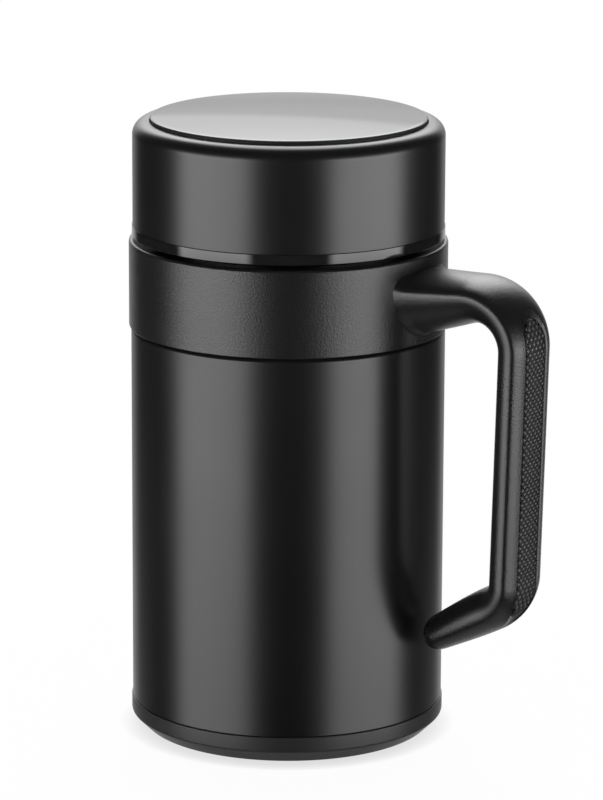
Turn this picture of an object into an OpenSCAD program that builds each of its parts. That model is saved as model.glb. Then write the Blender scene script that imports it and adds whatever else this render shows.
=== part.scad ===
// Insulated travel mug: a double-walled steel vessel, a collar with a moulded handle and a screw-on lid.
// The mug's axis is Z, the surface that it stands on is z = 0 and the handle points along +X.

/* [Body] */
// Outer diameter of the steel shell
body_d = 80; // [74:1:92]
// Height over all with the lid screwed down
mug_h = 160; // [150:1:190]
// Thickness of the steel of shell, vessel and vacuum base
steel_t = 0.6; // [0.5:0.1:0.9]
// Space between shell and vessel along the body
vacuum_gap = 3.8; // [3.4:0.1:5]
// Radius between the wall and the floor of the vessel
floor_round = 6; // [4:0.5:10]

/* [Base] */
// Height of the base cap's upper edge
cap_h = 7.55; // [7:0.05:10]
// Distance by which the base cap stands out from the shell
cap_proud = 0.26; // [0:0.02:0.6]
// Height of the bevel round the foot
bevel_h = 3.7; // [3:0.1:5]
// Width of the bevel round the foot
bevel_w = 3.8; // [2:0.1:6]
// Thickness of the anti-slip pad
pad_t = 1.4; // [1:0.1:2]
// Diameter of the getter pill in the vacuum space
getter_d = 10; // [6:0.5:14]
// Diameter of the evacuation hole
vent_d = 3; // [2:0.1:5]

/* [Collar] */
// Height of the collar
collar_h = 22.3; // [20:0.1:28]
// Distance by which the collar stands out from the shell
collar_proud = 0.55; // [0.2:0.05:1.5]
// Gap that shows between collar and closed lid
lid_gap = 1.1; // [0.8:0.1:2]

/* [Handle] */
// Room for the fingers between shell and grip, at the top
finger_room = 24.15; // [20:0.05:32]
// How much nearer to the mug the grip is at the bottom
grip_lean = 2.1; // [0:0.1:4]
// Rise of the arm's centre line from the collar to the grip
arm_rise = 4.2; // [0:0.1:6]
// Height of the corner where the grip's centre line meets that of the leg
leg_z = 42.4; // [36:0.1:48]
// Height of the leg's centre line at its end
foot_z = 28.9; // [24:0.1:34]
// Gap between the leg's end and the shell
foot_gap = 2.5; // [0.5:0.1:4]
// Radius of the centre line in the upper bend
upper_bend = 11.9; // [10:0.1:14]
// Radius of the centre line in the lower bend
lower_bend = 9.5; // [8:0.1:12]
// Width of the grip
grip_w = 18.8; // [16:0.1:24]
// Depth of the grip's inner side from its centre line
grip_in = 4.8; // [4:0.1:6]
// Depth of the grip's outer side from its centre line
grip_out = 4.55; // [4:0.05:6]
// Width of the arm inside the collar
root_w = 27; // [20:0.1:30]
// Height of the arm inside the collar
root_h = 19.7; // [15:0.1:20.4]
// Height of the arm beside the collar
arm_h = 16; // [12:0.1:17.5]
// Height of the arm's widest line above its centre line, at the collar
root_ridge = 3.4; // [0:0.1:4]
// Width of the leg before its rounded end
foot_w = 10.5; // [8:0.1:14]
// Height of the leg before its rounded end
foot_h = 8.2; // [7:0.1:11]
// Length of the leg's rounded end
nose_l = 4.6; // [3:0.1:7]

/* [Grip inlay] */
// Width of the ribbed insert in the outer face of the grip
inlay_w = 10; // [8:0.1:12]
// Depth of the insert's back below the grip's outer face
inlay_depth = 1.9; // [1.6:0.1:2.4]
// Distance by which the insert's front lies below the grip's outer face
inlay_sunk = 0.25; // [0.1:0.05:0.6]
// Length of the groove on the upper bend
inlay_up = 7; // [4:0.1:12]
// Length of the groove on the lower bend
inlay_down = 7; // [4:0.1:9]
// Length of the groove that the insert leaves open at its lower end
inlay_short = 1.8; // [0.2:0.1:3]

/* [Lid] */
// Height of the lid from the liner's flange to the top
lid_h = 31.1; // [29:0.1:36]
// Distance by which the lid's shell is set back from the steel shell
lid_inset = 0.43; // [0.1:0.01:1]
// Wall thickness of the lid's shell
lid_wall = 1.8; // [1.4:0.1:2.4]
// Radius between the lid's side and top
lid_round = 3.5; // [1.5:0.1:4]
// Distance of the raised disc's edge from the lid's side
disc_inset = 4.42; // [4.2:0.01:8]
// Height of the disc's edge above the lid's top
disc_edge = 1; // [0.6:0.1:2]
// Rise of the disc's dome
dome_h = 1; // [0.5:0.1:2]
// Height of the liner's flange under the lid's shell
flange_h = 2.6; // [2:0.1:4]
// Thickness of the insulation under the lid's top
foam_t = 3.5; // [2:0.1:5]
// Thickness of the gasket
gasket_t = 2; // [1.5:0.1:3]

/* [Thread] */
// Rise of the thread in one turn
pitch = 4; // [3.5:0.1:5]
// Turns of thread on the neck and in the liner
thread_turns = 1.5; // [1.25:0.25:1.75]
// Height of the thread ridges
thread_depth = 1.4; // [1.2:0.05:1.6]
// Radial play between the threads
thread_play = 0.4; // [0.3:0.05:0.5]

/* [Hidden] */
$fn = 96;
// Overlap that makes cuts run clean through
cut = 1;

// Steel shell: its seat for the collar, its skirt in the base cap and its edges
body_r = body_d / 2;
seat_gap = 1;
seat_r = body_r - (vacuum_gap - seat_gap);
skirt_step = 1.8;
skirt_r = body_r - skirt_step;
skirt_z = 4.2;
edge_break = 0.4;
shoulder_w = 0.8;
shoulder_h = 0.9;

// Lid, from the top down
lid_r = body_r - lid_inset;
disc_r = lid_r - disc_inset;
lid_top = mug_h - dome_h - disc_edge;
disc_sunk = 1;
disc_play = 0.1;
dome_steps = 8;
plate_t = 2;
plate_z = lid_top - disc_sunk - plate_t;
liner_top = plate_z - foam_t;
roof_t = 1.5;
roof_z = liner_top - roof_t;
rim_z = roof_z - gasket_t;
lid_z = mug_h - lid_h;
flange_top = lid_z + flange_h;
flange_proud = 0.2;
flange_r = lid_r + flange_proud;
liner_t = 1.4;
liner_play = 0.37;
liner_r = lid_r - lid_wall - liner_play;
liner_bore = liner_r - liner_t;
foam_play = 0.4;

// Neck, mouth and the liner's lip that holds the gasket
crest_r = liner_bore - thread_play;
neck_r = crest_r - thread_depth;
neck_gap = 1.2;
mouth_r = neck_r - 2 * steel_t - neck_gap;
lip_t = 1;
lip_drop = 2.5;
lip_play = 0.9;
lip_r = mouth_r - lip_play;
gasket_play = 0.3;
gasket_in = lip_r + gasket_play;
gasket_over = 1.2;
gasket_out = neck_r + gasket_over;

// Collar
collar_r = body_r + collar_proud;
collar_top = lid_z - lid_gap;
collar_z = collar_top - collar_h;
collar_round = 0.8;
collar_flange = 1.8;
collar_play = 0.2;
collar_mouth = crest_r + collar_play;
neck_z = collar_top - collar_flange;

// Vessel
vessel_r = body_r - 2 * steel_t - vacuum_gap;
vessel_floor = 11.5;
throat_drop = 10.4;
throat_z = collar_top - throat_drop;
throat_h = 4;

// Vacuum base
plate_rise = 1.2;
plate_low = skirt_z + plate_rise;
base_r = skirt_r - steel_t;
getter_h = 2.2;
getter_x = 16;
vent_head_over = 2.2;
vent_head_h = 0.8;

// Base cap and pad
cap_r = body_r + cap_proud;
cap_bottom = 0.3;
foot_r = cap_r - bevel_w;
cap_floor = 3;
cap_seat_w = 1.8;
pad_margin = 1;
pad_r = foot_r - pad_margin;
pad_play = 0.2;

// Thread ridges: widths, depth in the wall, fading ends, axial play and steps of one turn
ridge_root = 1.7;
ridge_tip = 0.7;
ridge_sunk = 0.3;
ridge_fade = 30;
ridge_play = 0.35;
ridge_steps = 30;
thread_drop = 3.5;
thread_z = rim_z - thread_turns * pitch - thread_drop;
liner_thread_z = thread_z - (ridge_root + ridge_tip) / 2 - ridge_play;

// Corners of the handle's centre line as [distance from the axis, height]
root_in = 8;
root_margin = 0.9;
root_at = [body_r - root_in, collar_z + root_margin + root_h / 2];
bend_at = [body_r + finger_room + grip_in, root_at[1] + arm_rise];
turn_at = [bend_at[0] - grip_lean, leg_z];
foot_at = [body_r + foot_gap, foot_z];

// Directions of the centre line, and how far along it each stretch begins and ends
arm_dir = heading_to(root_at, bend_at);
grip_dir = heading_to(bend_at, turn_at);
leg_dir = heading_to(turn_at, foot_at);
upper_turn = arm_dir - grip_dir;
lower_turn = grip_dir - leg_dir;
upper_trim = upper_bend * tan(upper_turn / 2);
lower_trim = lower_bend * tan(lower_turn / 2);
arm_end = norm(bend_at - root_at) - upper_trim;
grip_start = arm_end + upper_bend * upper_turn * PI / 180;
grip_end = grip_start + norm(turn_at - bend_at) - upper_trim - lower_trim;
leg_start = grip_end + lower_bend * lower_turn * PI / 180;
leg_end = leg_start + norm(foot_at - turn_at) - lower_trim;
upper_centre = root_at + arm_end * along(arm_dir) - upper_bend * along(arm_dir + 90);
lower_centre = turn_at - lower_trim * along(grip_dir) - lower_bend * along(grip_dir + 90);

// Section of the handle by distance along the centre line: half width, depth of the inner and outer sides, distance
// of the widest line outside the centre line, and power of the outer side's oval, where 2 is an ellipse and more is
// flatter
flare_in = 0.2;
flare_out = 1.3;
flare_start = root_in - flare_in;
flare_end = root_in + flare_out;
arm_spread = 0.6;
arm_under = 1;
bend_in = 1.4;
bend_out = 1.3;
leg_narrow = 1.2;
leg_in = 1.1;
leg_out = 0.8;
half_widths = [[0, root_w / 2], [arm_end, grip_w / 2 + arm_spread], [grip_start, grip_w / 2],
    [grip_end, grip_w / 2], [leg_start, grip_w / 2 - leg_narrow], [leg_end, foot_w / 2]];
in_depths = [[flare_start, root_h / 2], [flare_end, arm_h / 2 + arm_under], [arm_end, grip_in + bend_in],
    [grip_start, grip_in], [grip_end, grip_in], [leg_start, grip_in + leg_in], [leg_end, foot_h / 2]];
out_depths = [[flare_start, root_h / 2], [flare_end, arm_h / 2 - arm_under], [arm_end, grip_out + bend_out],
    [grip_start, grip_out], [grip_end, grip_out], [leg_start, grip_out + leg_out], [leg_end, foot_h / 2]];
arm_ridge = 1.4;
grip_ridge = 1.35;
ridges = [[0, root_ridge], [arm_end, arm_ridge], [grip_start, grip_ridge], [grip_end, grip_ridge], [leg_start, 0]];
ellipse_power = 2;
flat_power = 2.4;
leg_power = 2.2;
out_powers = [[arm_end, ellipse_power], [grip_start, flat_power], [grip_end, flat_power], [leg_start, leg_power]];
nose_start = leg_end - nose_l;
nose_steps = 6;
nose_tip = 0.12;
section_sides = 32;
straight_steps = 5;
bend_steps = 10;
handle_stations = concat(
    stations(0, arm_end, 2 * straight_steps),
    stations(arm_end, grip_start, bend_steps),
    stations(grip_start, grip_end, straight_steps),
    stations(grip_end, leg_start, bend_steps),
    stations(leg_start, nose_start, straight_steps),
    [for (k = [0 : nose_steps]) nose_start + nose_l * sin(90 * k / nose_steps)]);

// Ribbed insert: its ends on the centre line, its back, and the steps along it, round its ends and across it
inlay_start = grip_start - inlay_up;
inlay_end = grip_end + inlay_down;
insert_end = inlay_end - inlay_short;
inlay_floor = grip_out - inlay_depth;
inlay_play = 0.1;
inlay_tip = 0.3;
inlay_steps = 20;
inlay_round_steps = 6;
inlay_face_steps = 6;
groove_h = 6;

function along(angle) = [cos(angle), sin(angle)];

function heading_to(a, b) = atan2(b[1] - a[1], b[0] - a[0]);

function stations(from, to, steps) = [for (k = [0 : steps - 1]) from + (to - from) * k / steps];

// Direction of the centre line at a distance along it
function heading(s) =
    s < arm_end ? arm_dir :
    s < grip_start ? arm_dir - (s - arm_end) / upper_bend * 180 / PI :
    s < grip_end ? grip_dir :
    s < leg_start ? grip_dir - (s - grip_end) / lower_bend * 180 / PI :
    leg_dir;

// Point of the centre line at a distance along it
function spot(s) =
    s < arm_end ? root_at + s * along(arm_dir) :
    s < grip_start ? upper_centre + upper_bend * along(heading(s) + 90) :
    s < grip_end ? turn_at - (lower_trim + grip_end - s) * along(grip_dir) :
    s < leg_start ? lower_centre + lower_bend * along(heading(s) + 90) :
    foot_at - (leg_end - s) * along(leg_dir);

// One ring of the handle: each point of the shape is [across the handle, out from the centre line]
function section(s, shape) =
    let (at = spot(s), out = along(heading(s) + 90))
    [for (q = shape) [at[0] + q[1] * out[0], -q[0], at[1] + q[1] * out[1]]];

function power_part(v, power) = sign(v) * pow(abs(v), 2 / power);

// Share of its full section that the leg keeps in its rounded end
function nose(s) =
    let (t = max(0, s - nose_start) / nose_l)
    max(nose_tip, sqrt(max(0, 1 - t * t)));

// Outline of the handle's section: a flatter outer side and a rounded inner side, which meet in the widest line
function handle_shape(s) =
    let (half = nose(s) * lookup(s, half_widths), ridge = lookup(s, ridges),
        out_depth = nose(s) * (lookup(s, out_depths) - ridge), in_depth = nose(s) * (lookup(s, in_depths) + ridge))
    [for (k = [0 : section_sides - 1])
        let (a = 360 * k / section_sides, outer = sin(a) > 0, power = outer ? lookup(s, out_powers) : ellipse_power)
        [half * power_part(cos(a), power), ridge + (outer ? out_depth : in_depth) * power_part(sin(a), power)]];

// Height of the grip's outer face above the centre line, at a distance across it
function face_at(s, y) =
    let (power = lookup(s, out_powers), ridge = lookup(s, ridges))
    ridge + (lookup(s, out_depths) - ridge) * pow(1 - pow(abs(y) / lookup(s, half_widths), power), 1 / power);

// Half width of the insert, or of its groove where play is 0, with round ends
function inlay_half(s, play, end) =
    let (half = inlay_w / 2 - play,
        in = half - min(half, max(0, min(s - inlay_start, end - s) - play)))
    max(inlay_tip, sqrt(half * half - in * in));

function inlay_stations(play, end) =
    let (half = inlay_w / 2 - play,
        ends = [for (k = [0 : inlay_round_steps - 1]) play + half * (1 - cos(90 * k / inlay_round_steps))])
    concat(
        [for (e = ends) inlay_start + e],
        stations(inlay_start + inlay_w / 2, end - inlay_w / 2, inlay_steps),
        [end - inlay_w / 2],
        [for (k = [inlay_round_steps - 1 : -1 : 0]) end - ends[k]]);

function groove_shape(s) =
    let (w = inlay_half(s, 0, inlay_end))
    [[w, inlay_floor], [w, inlay_floor + groove_h], [-w, inlay_floor + groove_h], [-w, inlay_floor]];

// The insert's section: a flat back and a front that follows the grip's outer face
function insert_shape(s) =
    let (w = inlay_half(s, inlay_play, insert_end))
    concat([[w, inlay_floor]],
        [for (k = [0 : inlay_face_steps])
            let (y = w * (1 - 2 * k / inlay_face_steps))
            [y, face_at(s, y) - inlay_sunk]],
        [[-w, inlay_floor]]);

// One ring of a thread ridge that winds about Z, on a neck or in a bore
function ridge_ring(angle, z, root_r, tip_r) =
    let (last = 360 * thread_turns,
        fade = min(1, (angle + 1) / ridge_fade, (last - angle + 1) / ridge_fade),
        tip = root_r + (tip_r - root_r) * fade,
        side = sign(tip_r - root_r) / 2,
        mid = z + pitch * angle / 360)
    [for (q = [[root_r, -ridge_root], [tip, -ridge_tip], [tip, ridge_tip], [root_r, ridge_root]])
        [q[0] * cos(angle), q[0] * sin(angle), mid + q[1] * side]];

// Solid through a row of rings that have the same number of points
module loft(rings) {
    count = len(rings[0]);
    last = len(rings) - 1;
    points = [for (ring = rings) each ring];
    sides = [for (i = [0 : last - 1], j = [0 : count - 1])
        let (a = i * count + j, b = i * count + (j + 1) % count)
        each [[a, b, b + count], [a, b + count, a + count]]];
    first_cap = [for (j = [count - 1 : -1 : 0]) j];
    last_cap = [for (j = [0 : count - 1]) last * count + j];
    polyhedron(points = points, faces = concat(sides, [first_cap, last_cap]));
}

module thread_ridge(z, root_r, tip_r) {
    steps = ceil(ridge_steps * thread_turns);
    loft([for (k = [0 : steps]) ridge_ring(360 * thread_turns * k / steps, z, root_r, tip_r)]);
}

// Half outline of a round bar with a round upper edge
module round_top(r, low, high, corner) {
    translate([0, low]) square([r, high - corner - low]);
    translate([0, low]) square([r - corner, high - low]);
    translate([r - corner, high - corner]) circle(corner);
}

// Half outline of the vessel: round-cornered floor, straight wall, sloping throat and neck
module vessel_outline(wall_r, low, mouth, corner, high) {
    translate([0, low]) square([wall_r - corner, corner]);
    translate([0, low + corner]) square([wall_r, throat_z - low - corner]);
    translate([wall_r - corner, low + corner]) circle(corner);
    polygon([[0, throat_z], [wall_r, throat_z], [mouth, throat_z + throat_h], [mouth, high], [0, high]]);
}

module outer_shell() {
    inside_r = body_r - steel_t;
    color("#1b1b1d") {
        rotate_extrude() polygon([
            [skirt_r, skirt_z], [skirt_r, cap_h], [body_r - edge_break, cap_h], [body_r, cap_h + edge_break],
            [body_r, collar_z - shoulder_h], [body_r - shoulder_w, collar_z], [seat_r, collar_z],
            [seat_r, neck_z], [neck_r, neck_z], [neck_r, rim_z - steel_t],
            [neck_r - steel_t, rim_z - steel_t], [neck_r - steel_t, neck_z - steel_t],
            [seat_r - steel_t, neck_z - steel_t], [seat_r - steel_t, collar_z - steel_t],
            [inside_r - shoulder_w / 2, collar_z - steel_t], [inside_r, collar_z - shoulder_h - steel_t / 2],
            [inside_r, cap_h + steel_t], [skirt_r - steel_t, cap_h + steel_t], [skirt_r - steel_t, skirt_z]]);
        thread_ridge(thread_z, neck_r - ridge_sunk, crest_r);
    }
}

module inner_vessel() {
    color("#c9cbcc") rotate_extrude() difference() {
        union() {
            vessel_outline(vessel_r + steel_t, vessel_floor - steel_t, mouth_r + steel_t,
                floor_round + steel_t, rim_z);
            translate([0, rim_z - steel_t]) square([neck_r, steel_t]);
        }
        vessel_outline(vessel_r, vessel_floor, mouth_r, floor_round, rim_z + cut);
    }
}

module vacuum_base() {
    color("#b5b7b9") difference() {
        rotate_extrude() polygon([[0, plate_low], [base_r - steel_t, plate_low], [base_r - steel_t, skirt_z],
            [base_r, skirt_z], [base_r, plate_low + steel_t], [0, plate_low + steel_t]]);
        translate([0, 0, skirt_z]) cylinder(d = vent_d, h = plate_rise + steel_t + cut);
    }
}

module getter() {
    color("#8d8f92") translate([getter_x, 0, plate_low + steel_t]) cylinder(d = getter_d, h = getter_h);
}

module vent_seal() {
    color("#d8d4c4") translate([0, 0, plate_low - vent_head_h]) {
        cylinder(d = vent_d + vent_head_over, h = vent_head_h);
        cylinder(d = vent_d, h = vent_head_h + steel_t);
    }
}

module base_cap() {
    bevel_low = foot_r + bevel_w * cap_bottom / bevel_h;
    seat_in = skirt_r - cap_seat_w;
    color("#3a3a3c") rotate_extrude() polygon([
        [pad_r + pad_play, cap_bottom], [bevel_low, cap_bottom], [cap_r, bevel_h], [cap_r, cap_h],
        [skirt_r, cap_h], [skirt_r, skirt_z], [seat_in, skirt_z], [seat_in, cap_floor], [0, cap_floor],
        [0, pad_t], [pad_r + pad_play, pad_t]]);
}

module base_pad() {
    color("#2c2c2d") cylinder(r = pad_r, h = pad_t);
}

module collar_ring() {
    rotate_extrude() difference() {
        round_top(collar_r, collar_z, collar_top, collar_round);
        translate([0, collar_z - cut]) square([seat_r, neck_z - collar_z + cut]);
        translate([0, collar_z - cut]) square([collar_mouth, collar_h + 2 * cut]);
    }
}

module collar_handle() {
    color("#2b2c2e") difference() {
        union() {
            collar_ring();
            difference() {
                loft([for (s = handle_stations) section(s, handle_shape(s))]);
                translate([0, 0, collar_z]) cylinder(r = (seat_r + collar_r) / 2, h = collar_h);
            }
        }
        loft([for (s = inlay_stations(0, inlay_end)) section(s, groove_shape(s))]);
    }
}

module grip_inlay() {
    color("#3c3d40") loft([for (s = inlay_stations(inlay_play, insert_end))
        section(s, insert_shape(s))]);
}

module lid_shell() {
    color("#1b1b1d") rotate_extrude() difference() {
        round_top(lid_r, flange_top, lid_top, lid_round);
        translate([0, flange_top - cut]) square([lid_r - lid_wall, plate_z - flange_top + cut]);
        translate([0, lid_top - disc_sunk]) square([disc_r + disc_play, disc_sunk + cut]);
    }
}

module lid_top_disc() {
    dome_r = (disc_r * disc_r + dome_h * dome_h) / (2 * dome_h);
    dome = [for (k = [dome_steps : -1 : 0])
        let (r = disc_r * k / dome_steps)
        [r, mug_h - dome_r + sqrt(dome_r * dome_r - r * r)]];
    color("#2a2b2e") rotate_extrude()
        polygon(concat([[0, lid_top - disc_sunk], [disc_r, lid_top - disc_sunk]], dome));
}

module lid_liner() {
    color("#151516") {
        rotate_extrude() polygon([
            [liner_bore, lid_z], [flange_r, lid_z], [flange_r, flange_top], [liner_r, flange_top],
            [liner_r, liner_top], [0, liner_top], [0, roof_z], [lip_r - lip_t, roof_z],
            [lip_r - lip_t, roof_z - lip_drop], [lip_r, roof_z - lip_drop], [lip_r, roof_z],
            [liner_bore, roof_z]]);
        thread_ridge(liner_thread_z, liner_bore + ridge_sunk, neck_r + thread_play);
    }
}

module lid_gasket() {
    color("#dcdcd8") translate([0, 0, rim_z]) difference() {
        cylinder(r = gasket_out, h = gasket_t);
        translate([0, 0, -cut]) cylinder(r = gasket_in, h = gasket_t + 2 * cut);
    }
}

module lid_insulation() {
    color("#efece2") translate([0, 0, liner_top]) cylinder(r = liner_r - foam_play, h = foam_t);
}

outer_shell();
inner_vessel();
vacuum_base();
getter();
vent_seal();
base_cap();
base_pad();
collar_handle();
grip_inlay();
lid_shell();
lid_top_disc();
lid_liner();
lid_gasket();
lid_insulation();
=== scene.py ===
"""Looks of an insulated travel mug: steel body, collar with a moulded handle, screw-on lid and rubber base."""
import math

import bmesh
import bpy
from bpy.props import FloatProperty, FloatVectorProperty, PointerProperty
from mathutils import Matrix, Quaternion, Vector


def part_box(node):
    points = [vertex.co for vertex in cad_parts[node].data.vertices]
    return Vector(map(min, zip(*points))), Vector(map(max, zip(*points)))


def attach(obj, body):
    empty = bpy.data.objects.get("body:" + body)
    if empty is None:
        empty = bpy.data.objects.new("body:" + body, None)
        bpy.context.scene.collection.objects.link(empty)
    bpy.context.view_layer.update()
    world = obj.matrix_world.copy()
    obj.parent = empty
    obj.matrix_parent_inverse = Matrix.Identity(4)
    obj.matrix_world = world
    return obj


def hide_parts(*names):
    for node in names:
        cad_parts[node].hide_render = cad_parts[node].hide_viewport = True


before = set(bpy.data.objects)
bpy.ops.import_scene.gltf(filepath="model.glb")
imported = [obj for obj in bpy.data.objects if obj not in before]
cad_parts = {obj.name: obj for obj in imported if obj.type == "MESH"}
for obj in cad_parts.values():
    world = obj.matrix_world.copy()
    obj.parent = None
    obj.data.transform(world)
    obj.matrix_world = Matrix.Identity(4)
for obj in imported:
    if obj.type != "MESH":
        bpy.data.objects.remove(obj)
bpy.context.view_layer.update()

bl_info = {
    "name": "Travel Mug",
    "version": (1, 0, 0),
    "blender": (4, 5, 0),
    "location": "3D View > Sidebar > Travel Mug",
    "description": "Builds the visible pieces, finishes and studio of an insulated travel mug",
    "category": "Object",
}

MM = 0.001
FULL_TURN = 2 * math.pi
TINY = 1e-6
UP = Vector((0, 0, 1))
SHARP_ANGLE = math.radians(32)

# Fineness of the meshes
LATHE_STEPS = 192
COLLAR_STEPS = 256
SHOULDER_STEPS = 14
DOME_STEPS = 20
SECTION_POINTS = 80
SECTION_FINE = 240
NOSE_STEPS = 12
ROUND_STEP = 0.25 * MM

# Powers of the ovals of the handle's section, and the share of it that is left at the leg's tip
ELLIPSE = 2.0
LEG_POWER = 2.2
NOSE_TIP = 0.03

# How deep a thread's root lies in its wall
THREAD_ROOT = 0.3 * MM

# Where the studio's lights start and end, in degrees: turn to the right of the camera's side, and rise
LEFT_PANEL, RIGHT_PANEL, PANEL_EDGE = (-86, -28.3), (31.3, 90.5), 4
PANEL_FOOT, PANEL_HEAD = (-31.5, -5.5), (-2, 14)
BACKDROP, BACKDROP_EDGE = (152, 200), 8
BACKDROP_FOOT, BACKDROP_HEAD = (-66, -40), (66, 78)
HORIZON, HAZE, SLANT, BACK_RISE, SKY_RISE = (-8, 4), (6, 11), (11, 11.9), (10, 27), (24, 34)
SLANT_LEAN = 0.45
TABLE_TURN, TABLE_RISE, TABLE_EDGE = (100, 145), (-27, -18.5), 5.5
BELOW, OVERHEAD = (-70, -40), (52, 58)


def size(name, description, mm):
    """A length, given in mm, that a user may change."""
    return FloatProperty(name=name, description=description, default=mm * MM, unit="LENGTH", precision=5)


def share(name, description, default):
    """A plain factor that a user may change."""
    return FloatProperty(name=name, description=description, default=default)


def angle(name, description, degrees):
    """An angle that a user may change."""
    return FloatProperty(name=name, description=description, default=math.radians(degrees), subtype="ANGLE")


def paint(name, description, default):
    """A colour that a user may change."""
    return FloatVectorProperty(
        name=name, description=description, default=default, size=3, subtype="COLOR", min=0, max=1)


def node_radius(node):
    """Radius of a round node about the mug's axis."""
    return round(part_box(node)[1].y, 5)


def node_span(node):
    """Lowest and highest point of a node."""
    low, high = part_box(node)
    return round(low.z, 5), round(high.z, 5)


class MugBodySizes(bpy.types.PropertyGroup):
    """Sizes of the steel shell and the rubber base."""

    shell_r: size("Shell radius", "Outer radius of the lacquered shell", node_radius("outer_shell") / MM)
    steel_t: size("Steel", "Thickness of the shell's steel", 0.6)
    seat_step: size("Seat", "Depth of the step that carries the collar", 2.8)
    neck_r: size("Neck", "Outer radius of the threaded neck", 34.2)
    neck_top: size("Neck top", "Height of the neck's upper end", 147.4)
    skirt_step: size("Skirt", "How far the skirt in the base is set back", 1.8)
    edge_round: size("Edge", "Rounding of the shell's lower edge", 0.3)
    shoulder_w: size("Shoulder width", "Width of the chamfer under the collar", 0.8)
    shoulder_h: size("Shoulder height", "Height of the chamfer under the collar", 0.9)
    bevel_w: size("Base bevel width", "Width of the bevel round the foot", 3.8)
    bevel_h: size("Base bevel height", "Height of the bevel round the foot", 3.7)
    base_round: size("Base rounding", "Rounding of the rubber base's edges", 0.3)
    pad_round: size("Pad rounding", "Rounding of the anti-slip pad's edges", 0.35)


class MugHandleSizes(bpy.types.PropertyGroup):
    """Sizes of the collar, the handle and its ribbed insert."""

    collar_low: size("Collar bottom", "Height of the collar's lower edge", 105.5)
    collar_round: size("Collar lip", "Rounding of the collar's upper edge", 0.8)
    collar_edge: size("Collar edge", "Rounding of the collar's lower edge", 0.25)
    collar_roof: size("Collar roof", "Thickness of the collar's roof over the shell's step", 1.8)
    collar_mouth: size("Collar mouth", "Inner radius of the collar's roof", 35.8)
    finger_room: size("Finger room", "Space between shell and grip, at the top", 24.15)
    grip_lean: size("Lean", "How much nearer to the mug the grip is at the bottom", 2.1)
    arm_rise: size("Arm rise", "Rise of the arm from the collar to the grip", 4.2)
    leg_z: size("Leg corner", "Height of the corner of grip and leg", 42.4)
    foot_z: size("Leg end", "Height of the leg at its end", 28.9)
    foot_gap: size("Leg gap", "Gap between the leg's end and the shell", 2.5)
    upper_bend: size("Upper bend", "Radius of the upper bend", 11.9)
    lower_bend: size("Lower bend", "Radius of the lower bend", 9.5)
    grip_w: size("Grip width", "Width of the grip", 18.8)
    grip_in: size("Grip inside", "Depth of the grip's rounded inner side", 4.8)
    grip_out: size("Grip outside", "Depth of the grip's flatter outer side", 4.55)
    grip_flat: share("Grip flatness", "Power of the outer side's oval, where 2 is an ellipse", 2.4)
    root_ridge: size("Root ridge", "Height of the arm's widest line above its centre line, in the collar", 3.9)
    arm_ridge: size("Arm ridge", "Height of the arm's widest line above its centre line, at the bend", 1.9)
    grip_ridge: size("Grip ridge", "Distance of the grip's widest line outside its centre line", 1.35)
    leg_ridge: size("Leg ridge", "Distance of the leg's widest line below its centre line", 0.5)
    root_w: size("Root width", "Width of the arm in the collar", 27)
    root_h: size("Root height", "Height of the arm in the collar", 19.7)
    arm_h: size("Arm height", "Height of the arm beside the collar", 16)
    foot_w: size("Leg width", "Width of the leg before its rounded end", 10.5)
    foot_h: size("Leg height", "Height of the leg before its rounded end", 8.2)
    nose_l: size("Leg rounding", "Length of the leg's rounded end", 4.6)
    inlay_w: size("Insert width", "Width of the groove for the ribbed insert", 10)
    inlay_depth: size("Insert depth", "Depth of the insert's back below the grip's face", 1.9)
    inlay_sunk: size("Insert edge", "Depth of the insert's front below the grip's face", 0.25)
    inlay_up: size("Insert top", "Length of the groove on the upper bend", 7)
    inlay_down: size("Insert bottom", "Length of the groove on the lower bend", 7)
    inlay_plain: size("Insert end", "Length of the insert's plain lower end", 1.8)
    inlay_play: size("Insert play", "Gap between insert and grip", 0.1)
    rim_w: size("Rim width", "Width of the bevel round the insert's groove", 0.6)
    rim_h: size("Rim depth", "Depth of the bevel round the insert's groove", 0.3)
    knurl_along: size("Knurl pitch", "Length of one diamond along the grip", 1.86)
    knurl_across: size("Knurl width", "Width of one diamond across the grip", 1.9)
    knurl_h: size("Knurl height", "Height of the diamonds", 0.38)
    knurl_slope: size("Knurl slope", "Width of the sloping side of a diamond", 0.48)


class MugLidSizes(bpy.types.PropertyGroup):
    """Sizes of the lid."""

    wall: size("Wall", "Wall thickness of the lid's shell", 1.8)
    shoulder_w: size("Shoulder width", "Width of the rounding between the lid's side and top", 3.5)
    shoulder_h: size("Shoulder height", "Height of the rounding between the lid's side and top", 3.5)
    foot_round: size("Lower edge", "Rounding of the shell's lower edge", 0.1)
    disc_edge: size("Disc edge", "Height of the disc's edge above the lid's top", 1)
    disc_round: size("Disc rounding", "Rounding of the disc's edge", 0.7)
    disc_play: size("Disc play", "Gap round the disc", 0.1)
    plate_t: size("Plate", "Thickness of the shell under the disc", 2)
    ring_h: size("Ring height", "Height of the glossy ring under the shell", 2.6)
    ring_round: size("Ring rounding", "Rounding of the glossy ring's edges", 0.15)
    liner_r: size("Liner", "Outer radius of the liner", 37.4)
    liner_t: size("Liner wall", "Wall thickness of the liner", 1.4)
    roof_t: size("Liner roof", "Thickness of the liner's roof", 1.5)
    lip_r: size("Lip", "Outer radius of the lip inside the gasket", 30.9)
    lip_t: size("Lip wall", "Thickness of the lip", 1)
    lip_drop: size("Lip height", "Height of the lip", 2.5)
    pitch: size("Thread pitch", "Rise of the thread in one turn", 4)
    thread_turns: share("Thread turns", "Turns of thread", 1.5)
    thread_depth: size("Thread depth", "Height of the thread's ridge", 1.4)
    thread_drop: size("Thread end", "Distance of the thread's upper end from the rim", 3.5)


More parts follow.
